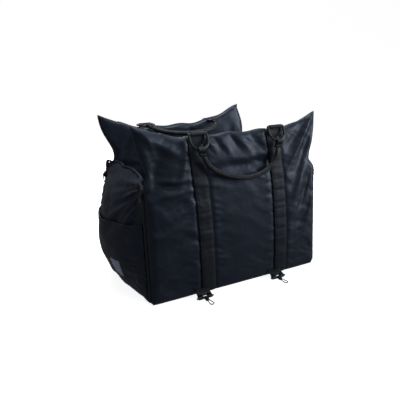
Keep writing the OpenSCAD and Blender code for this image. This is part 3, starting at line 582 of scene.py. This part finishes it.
# base cloth: rings of a rounded oblong, out over its upper edge and back in underneath
a, r = np.meshgrid(np.linspace(0, 2 * math.pi, base["sides"], endpoint=False), base["rings"])
square = lambda t: np.sign(t) * np.abs(t) ** base["squareness"]
height = np.array(base["heights"])[:, None] + 0 * a
points = np.stack([base["halfX"] * square(np.cos(a)) * r, base["halfY"] * square(np.sin(a)) * r, height], -1)
rim, rings = np.arange(base["sides"]), len(base["rings"])
skins = points, quads(rings, base["sides"], wrap=True)
ends = [rim[::-1], rim + (rings - 1) * base["sides"]]
addPiece("baseCloth", *skins, "bag", nylon, "nylon", ["base_shell"], caps=ends)
# base lining: a board's flat top, falling off round its rim, with slow ripples
x, y = np.meshgrid(spacing(90, -base["liningX"], base["liningX"]), spacing(70, -base["liningY"], base["liningY"]))
fallX, fallY = (roundOff(base[half] - np.abs(q), base["liningRound"]) for half, q in (("liningX", x), ("liningY", y)))
crown = base["liningTop"] + base["crown"] * (fallX * fallY) + base["ripple"] * ripples(x, y, base["seed"], 8, 0.04, 0.12)
outer = np.stack([x, y, crown + base["liningThick"]], -1)
inner = np.stack([x, y, np.full_like(x, base["liningLow"])], -1)
piece = addPiece("baseLining", *shell(outer, inner), "bag", lining, "lining", ["base_lining", "base_board"])
print("label and base made")

tape = {"thick": 0.0018, "low": 0.0030, "round": 0.030, "tackDepth": 0.0011, "tackWide": 0.0030,
        "tacks": (0.305, 0.278, 0.249, 0.216, 0.199, 0.171, 0.143, 0.119), "under": 0.0030,
        "wrapRadius": 0.0040, "wrapFrom": -112, "wrapTo": 165, "tabHalf": 0.00088, "tabNarrow": 0.985, "tongue": 0.027}
for name, wall in walls.items():
    for hand, sign in (("left", -1), ("right", 1)):
        # webbing: a flat band that follows the wall's face, evened out across its width and dipping at each tack
        t, s = np.meshgrid(np.linspace(-1, 1, 21) * bag["webHalf"], np.linspace(0, 1, 130))
        z = tape["low"] + (bag["wallTop"] - 0.001 - tape["low"]) * s
        x = webMiddle(z, sign, wall) + t
        soft = wallFace(x, z, wall, False)
        level = wallFace(webMiddle(z, sign, wall), z, wall, False)
        lift = np.maximum(soft, level * 0.5 + soft * 0.5)
        inside = roundOff(bag["wallTop"] + 0.0015 - z, 0.012) * roundOff(z - 0.0005, 0.016)
        dips = sum(np.exp(-((z - tack + 0.004 * sign) / tape["tackWide"]) ** 2) for tack in tape["tacks"])
        y = bag["seamY"] + (lift - bag["seamY"]) * inside + 0.0006 - tape["tackDepth"] * dips
        rim = roundOff(bag["webHalf"] - np.abs(t), 0.0012)
        face = y + tape["thick"] * (0.35 + 0.65 * rim)
        outer, inner = (np.stack([x, wall["side"] * q, z], -1) for q in (face, y - tape["under"]))
        uv = np.concatenate([np.stack([t, z], -1).reshape(-1, 2)] * 2)
        band = shell(outer, inner)
        addPiece(f"{name}{hand.title()}Webbing", *band, "bag", webbing, "webbing", [f"{name}_{hand}_webbing"], uv=uv)
        # tab: tongue up the wall, round the ring's bar and down behind it on to the top edge
        cy, cz, rad = bag["ringY"], bag["ringZ"], tape["wrapRadius"]
        t, s = np.meshgrid(np.linspace(-1, 1, 25) * bag["webHalf"] * tape["tabNarrow"], np.linspace(0, 1, 60))
        lowZ = bag["ringZ"] - tape["tongue"] + tape["round"] - np.sqrt(tape["round"] ** 2 - t[0] ** 2)
        turns = np.radians(np.linspace(tape["wrapFrom"], tape["wrapTo"], 30))
        faceY = float(wallFace(np.array([sign * bag["webX"]]), np.array([0.392]), wall)[0]) + 0.0038
        rows = []
        for k, low in enumerate(lowZ):
            up1 = np.array([[faceY + 0.0004, low], [faceY + 0.0004, (low + 0.401) / 2], [faceY - 0.0005, 0.4012]])
            wrap = np.stack([cy + rad * np.cos(turns), cz + rad * np.sin(turns)], -1)
            down = np.array([[0.1770, 0.4075], [0.1755, 0.4050]])
            rows.append(onPath(np.concatenate([up1, wrap, down]), 64)[0])
        line = np.stack(rows, 1)
        run = unit(np.gradient(line, axis=0))
        normal = np.stack([run[..., 1], -run[..., 0]], -1)
        xs = sign * bag["webX"] + t[:1] + 0 * line[..., 0]
        rim = roundOff(bag["webHalf"] - np.abs(xs - sign * bag["webX"]), 0.0015)
        sides = [line + normal * (k * tape["tabHalf"] * (0.4 + 0.6 * rim))[..., None] for k in (1, -1)]
        outer, inner = (np.stack([xs, wall["side"] * q[..., 0], q[..., 1]], -1) for q in sides)
        along = np.cumsum(np.linalg.norm(np.diff(line, axis=0, prepend=line[:1]), axis=-1), axis=0)
        uv = np.concatenate([np.stack([xs - sign * bag["webX"], along], -1).reshape(-1, 2)] * 2)
        addPiece(f"{name}{hand.title()}Tab", *shell(outer, inner), "bag", webbing, "webbing", [f"{name}_{hand}_tab"], uv=uv)
print("webbing and tabs made")

handle = {"half": 0.0064, "drop": 0.082, "middle": 35, "end": 75, "straight": 0.022, "span": 0.111,
          "endWide": 0.0070, "endDeep": 0.0026, "lean": 0.020, "loopWidth": 0.018, "loopRadius": 0.0053, "loopThick": 0.0018,
          "count": 170, "trim": 7}


def handleLine(count):
    # half a handle in its own plane: a straight end, a tight arc and a wide arc, all tangent, then mirrored
    mid, end = math.radians(handle["middle"]), math.radians(handle["end"])
    runX = handle["span"] - handle["straight"] * math.cos(end)
    runZ = handle["drop"] - handle["straight"] * math.sin(end)
    bendX, bendZ = math.sin(end) - math.sin(mid), math.cos(mid) - math.cos(end)
    det = math.sin(mid) * bendZ - bendX * (1 - math.cos(mid))
    wide = (runX * bendZ - bendX * runZ) / det
    tight = (math.sin(mid) * runZ - (1 - math.cos(mid)) * runX) / det
    a = np.linspace(0, mid, 20)
    b = np.linspace(mid, end, 14)[1:]
    first = np.stack([wide * np.sin(a), wide * (1 - np.cos(a)) - handle["drop"]], -1)
    second = first[-1] + tight * np.stack([np.sin(b) - math.sin(mid), math.cos(mid) - np.cos(b)], -1)
    ends = second[-1] + np.linspace(0, 1, 6)[1:, None] * handle["straight"] * np.array([math.cos(end), math.sin(end)])
    half = np.concatenate([first, second, ends])
    return onPath(np.concatenate([(half * [-1, 1])[::-1], half[1:]]), count)


# rolled webbing: an oval swept along the handle's line, flattening towards both ends, with a raised seam beside a groove
for name, turn, origin in (("front", 0.0, (-0.20048, 0.37465)), ("back", -72.0, (0.14502, 0.40864))):
    flat, run = (line[handle["trim"]:-handle["trim"]] for line in handleLine(handle["count"]))
    c, s = math.cos(math.radians(turn)), math.sin(math.radians(turn))
    lean = handle["lean"] * (1 - (flat[:, 0] / handle["span"]) ** 2) if name == "front" else 0 * flat[:, 0]
    place = lambda x, q, p: np.stack([x, origin[0] + p * c - q * s, origin[1] + q * c + p * s], -1)
    centre = place(flat[:, 0] + lean, flat[:, 1], 0 * flat[:, 0])
    forward = unit(np.gradient(centre, axis=0))
    out = np.tile([0.0, -c, -s], (len(centre), 1))
    side = unit(np.cross(out, forward))
    ang = np.linspace(0, 2 * math.pi, 36, endpoint=False)
    body = smooth((np.minimum(run - run[0], run[-1] - run) - 0.002) / 0.020)[:, None]
    ridge = 0.0011 * np.exp(-(((ang - 0.35 * math.pi) / 0.16) ** 2))
    seam = ridge - 0.0010 * np.exp(-(((ang - 0.47 * math.pi) / 0.10) ** 2))
    twist = 0.00025 * np.sin(run * 210)[:, None] * np.cos(2 * ang)
    wide = handle["endWide"] + (handle["half"] - handle["endWide"]) * body
    deep = handle["endDeep"] + (handle["half"] - handle["endDeep"]) * body
    profile = np.stack([(wide + seam * body + twist) * np.cos(ang), (deep + seam * body + twist) * np.sin(ang)], -1)
    points, faces, caps = sweep(centre, side, out, profile)
    uv = np.stack(np.meshgrid(ang * handle["half"] - 0.0235, run), -1)
    addPiece(name + "Handle", points, faces, name + "_handle", handleCloth, "webbing", [name + "_handle"], uv=uv, caps=caps)
    for hand, sign in (("Left", -1), ("Right", 1)):
        # end loop: a flat band once round the ring's lowest point, closing on the handle's end
        loopTurn = np.radians(np.linspace(-62, 242, 44))
        q, p = handle["loopRadius"] * np.sin(loopTurn), handle["loopRadius"] * np.cos(loopTurn)
        low = np.array([-0.0165, -0.0115])
        q = np.concatenate([low, q, low[::-1]])
        p = np.concatenate([[0.0030, 0.0034], p, [-0.0034, -0.0030]])
        slope = math.radians(90 - handle["end"])
        xs = sign * handle["span"] + sign * q * math.tan(slope) * (q < -0.004)
        centre = place(xs, q, p)
        forward = unit(np.gradient(centre, axis=0))
        across = np.tile([1.0, 0.0, 0.0], (len(centre), 1))
        width = bandProfile(handle["loopWidth"] - 0.001, handle["loopThick"])
        points, faces, caps = sweep(centre, across, unit(np.cross(across, forward)), width)
        uv = np.stack(np.meshgrid(width[:, 0] * 1.8, np.linspace(0, 0.045, len(centre))), -1)
        addPiece(f"{name}Handle{hand}Loop", points, faces, name + "_handle", handleCloth, "webbing", uv=uv, caps=caps)
print("handles made")

zips = {"x": 0.2500, "y": 0.161, "low": 0.012, "high": 0.286, "slit": 0.00025, "halfTape": 0.009,
        "coilLow": 0.0150, "coilHigh": 0.2820, "pitch": 0.0016, "coil": 0.0016, "sides": 14}
coilPoints, coilFaces, coilCaps = [], [], []
# tapes: two flat halves with a slit between them, a little thinner at their outer edges
for name, sideY in (("front", -1), ("back", 1)):
    for hand, sideX in (("left", -1), ("right", 1)):
        points, faces, total = [], [], 0
        rows = np.linspace(zips["low"] + 0.0003, zips["high"] - 0.0003, 120)
        for edgeA, edgeB in ((zips["slit"], zips["halfTape"]), (-zips["halfTape"], -zips["slit"])):
            t, z = np.meshgrid(np.linspace(edgeA, edgeB, 9), rows)
            lift = 0.0010 * (1 - 0.4 * smooth((np.abs(t) - 0.0075) / 0.0015)) + 0.00012 * np.sin(z * 260)
            skins = (np.stack([sideX * (zips["x"] + q), sideY * (zips["y"] + t), z], -1) for q in (lift, 0 * t - 0.0006))
            p, f = shell(*skins)
            points.append(p), faces.append(f + total)
            total += len(p)
        flat = np.concatenate(points)
        uv = np.stack([(np.abs(np.abs(flat[:, 1]) - zips["y"]) - 0.0045) * 0.9, flat[:, 2]], -1)
        tapeName = f"{name}{hand.title()}ZipTape"
        addPiece(tapeName, flat, np.concatenate(faces), "bag", zipCloth, "zip_tape", [f"{name}_{hand}_zip_tape"], uv=uv)
        # coil: two columns of rounded teeth, half a pitch apart, meeting in a shallow groove
        steps = np.arange(zips["coilLow"], zips["coilHigh"], zips["pitch"] / 5)
        z, a = np.meshgrid(steps, np.radians(np.linspace(0, 360, zips["sides"], endpoint=False)), indexing="ij")
        beat = 0.5 + 0.5 * np.cos((z / zips["pitch"] + 0.5 * (np.cos(a) < 0)) * 2 * math.pi)
        radius = zips["coil"] * (0.80 + 0.20 * beat) * (1 - 0.22 * np.exp(-(((np.abs(a - math.pi / 2)) / 0.25) ** 2)))
        coilX = zips["x"] + 0.0010 + np.clip(radius * np.sin(a), -0.0004, 1)
        coilPoints.append(np.stack([sideX * coilX, sideY * (zips["y"] + radius * np.cos(a)), z], -1).reshape(-1, 3))
        start = sum(len(p) for p in coilPoints[:-1])
        cells = quads(*z.shape, start, wrap=True)
        rim = np.arange(zips["sides"]) + start
        ends = [rim[::-1], rim + (z.shape[0] - 1) * zips["sides"]]
        if sideX * sideY < 0:
            cells, ends = cells[:, ::-1], [e[::-1] for e in ends]
        coilFaces.append(cells), coilCaps.extend(ends)
coils = np.concatenate(coilPoints), np.concatenate(coilFaces)
addPiece("zipCoils", *coils, "bag", coilPlastic, "zip_coil", ["zip_coils"], caps=coilCaps)
print("zips made")

strap = {"rootY": 0.18078, "rootZ": 0.0175, "barZ": 0.00455, "length": 0.025, "thick": 0.00175, "roll": 0.00345,
         "notch": 0.012, "width": 0.038, "shift": -0.008}
slopeAngle = math.asin((strap["rootZ"] - strap["barZ"]) / strap["length"])
for hand, sign in (("left", -1), ("right", 1)):
    middle = sign * bag["webX"] + strap["shift"]
    c, s = math.cos(slopeAngle), math.sin(slopeAngle)
    # x runs across the strap, p down its slope from the seam, q off its face
    place = lambda x, p, q: np.stack([middle + x, -(strap["rootY"] + p * c + q * s), strap["rootZ"] - p * s + q * c], -1)
    gapEnd = strap["length"] - 0.0052
    # doubled tape from its seam, gently humped, then two rolls round the bar either side of the swivel
    t, p = np.meshgrid(np.linspace(-1, 1, 25) * strap["width"] / 2, np.linspace(-0.0012, gapEnd, 24))
    share = p / gapEnd
    rim = roundOff(strap["width"] / 2 - np.abs(t), 0.0015)
    humped = 0.0010 * np.sin(math.pi * np.clip(share, 0, 1)) * (1 - 0.5 * (t / 0.019) ** 2) + 0.0006 * smooth(share)
    half = strap["thick"] * (0.3 + 0.7 * rim)
    outer, inner = place(t, p, half + humped), place(t, p, -half + 0.3 * humped)
    uv = np.concatenate([np.stack([t, p], -1).reshape(-1, 2)] * 2)
    addPiece(hand + "HookStrap", *shell(outer, inner), hand + "_strap", strapCloth, "strap_webbing", [hand + "_strap"], uv=uv)
    for edge, rollSign in (("Near", -1), ("Far", 1)):
        rollTurn = np.radians(np.linspace(118, -118, 34))
        rp = strap["length"] + strap["roll"] * np.cos(rollTurn)
        rq = strap["roll"] * np.sin(rollTurn)
        rp, rq = np.concatenate([[gapEnd - 0.003], rp, [gapEnd - 0.003]]), np.concatenate([[0.0018], rq, [-0.0013]])
        rollWidth = (strap["width"] - strap["notch"]) / 2
        centre = place(np.full_like(rp, rollSign * (strap["notch"] + rollWidth) / 2), rp, rq)
        across = np.tile([1.0, 0.0, 0.0], (len(rp), 1))
        forward = unit(np.gradient(centre, axis=0))
        section = bandProfile(rollWidth, strap["thick"])
        points, faces, caps = sweep(centre, across, unit(np.cross(across, forward)), section)
        uv = np.stack(np.meshgrid(section[:, 0], np.linspace(0, 0.02, len(rp))), -1)
        rollName = f"{hand}HookStrap{edge}Roll"
        addPiece(rollName, points, faces, hand + "_strap", strapCloth, "strap_webbing", uv=uv, caps=caps)
print("hook straps made")

# the metal parts still showing keep the frame's own shapes
for nodeName, node in nodes.items():
    if node.hide_render:
        continue
    metal = gunMetal if nodeName.endswith(("_eye", "_hook", "_gate", "_pull")) else blackMetal
    node.data.materials.clear()
    node.data.materials.append(metal)
print("still showing:", sorted(n for n, o in nodes.items() if not o.hide_render))


def bowlFloor():
    # a level round floor that curves up all round into a plain wall: radius and height run along one profile
    turn = np.radians(np.linspace(0, 90, 14))
    reach = np.concatenate([[0.02, 1.0, 3.0], 5 + 3 * np.sin(turn), [8.0]])
    height = np.concatenate([[0, 0, 0], 3 - 3 * np.cos(turn), [9.0]])
    around, r = np.meshgrid(np.linspace(0, 2 * math.pi, 48, endpoint=False), reach)
    points = np.stack([r * np.cos(around), r * np.sin(around), height[:, None] - 0.0002 + 0 * r], -1).reshape(-1, 3)
    mesh = bpy.data.meshes.new("floor")
    mesh.from_pydata(points.tolist(), [], quads(len(reach), 48, wrap=True).tolist() + [list(range(48))])
    mesh.shade_smooth()
    pale = {"Roughness": 0.8, "Specular IOR Level": 0.1, "Base Color": shade(0.90, 0.90, 0.90),
            "Emission Color": shade(1, 1, 1), "Emission Strength": 0.84}
    mesh.materials.append(Finish("paleFloor", pale).material)
    floor = bpy.data.objects.new("floor", mesh)
    bpy.context.scene.collection.objects.link(floor)
    # the cloth is lit by the dim room and the lamps, not by the floor
    floor.visible_glossy = floor.visible_diffuse = False


def softLight(name, position, target, size, power, colour):
    data = bpy.data.lights.new(name, "AREA")
    data.shape, data.size, data.size_y, data.energy, data.color = "RECTANGLE", size[0], size[1], power, colour
    lamp = bpy.data.objects.new(name, data)
    lamp.location = position
    lamp.rotation_mode = "QUATERNION"
    lamp.rotation_quaternion = (Vector(target) - Vector(position)).to_track_quat("-Z", "Y")
    bpy.context.scene.collection.objects.link(lamp)


bowlFloor()
bpy.context.scene.view_settings.view_transform = "Standard"
world = bpy.data.worlds.new("studio")
bpy.context.scene.world = world
world.use_nodes = True
world.node_tree.nodes["Background"].inputs[0].default_value = (1, 1, 1, 1)
world.node_tree.nodes["Background"].inputs[1].default_value = 0.16
softLight("overhead", (0.1, 0.1, 2.2), (0, 0, 0.2), (1.3, 1.3), 40, (0.92, 0.96, 1.0))
softLight("rightKey", (1.85, -1.30, 0.80), (0.08, 0, 0.22), (0.9, 1.3), 44, (0.92, 0.96, 1.0))
softLight("leftFill", (-1.5, -1.9, 1.5), (-0.28, -0.05, 0.2), (0.5, 0.7), 6, (0.72, 0.84, 1.0))
softLight("backFill", (0.6, 2.4, 1.0), (0, 0, 0.25), (1.2, 1.2), 14, (1, 1, 1))

# camera: turned round the target by azimuth and elevation, then rolled about its own line of sight
camera = {"azimuth": -27.27, "elevation": 12.617, "distance": 1.307, "target": (0.013, 0.0, 0.241), "roll": -2.37,
          "lens": 40.49, "shift": (-0.0267, -0.0418)}
azimuth, elevation, roll = (math.radians(camera[k]) for k in ("azimuth", "elevation", "roll"))
back = Vector((math.sin(azimuth) * math.cos(elevation), -math.cos(azimuth) * math.cos(elevation), math.sin(elevation)))
right = (-back).cross(Vector((0, 0, 1))).normalized()
up = right.cross(-back)
right, up = right * math.cos(roll) + up * math.sin(roll), up * math.cos(roll) - right * math.sin(roll)
data = bpy.data.cameras.new("camera")
data.sensor_width, data.lens = 36, camera["lens"]
data.shift_x, data.shift_y = camera["shift"]
eye = bpy.data.objects.new("camera", data)
bpy.context.scene.collection.objects.link(eye)
turned = Matrix((right, up, back)).transposed().to_4x4()
turned.translation = Vector(camera["target"]) + back * camera["distance"]
eye.matrix_world = turned
bpy.context.scene.camera = eye
print("floor, light and camera set")
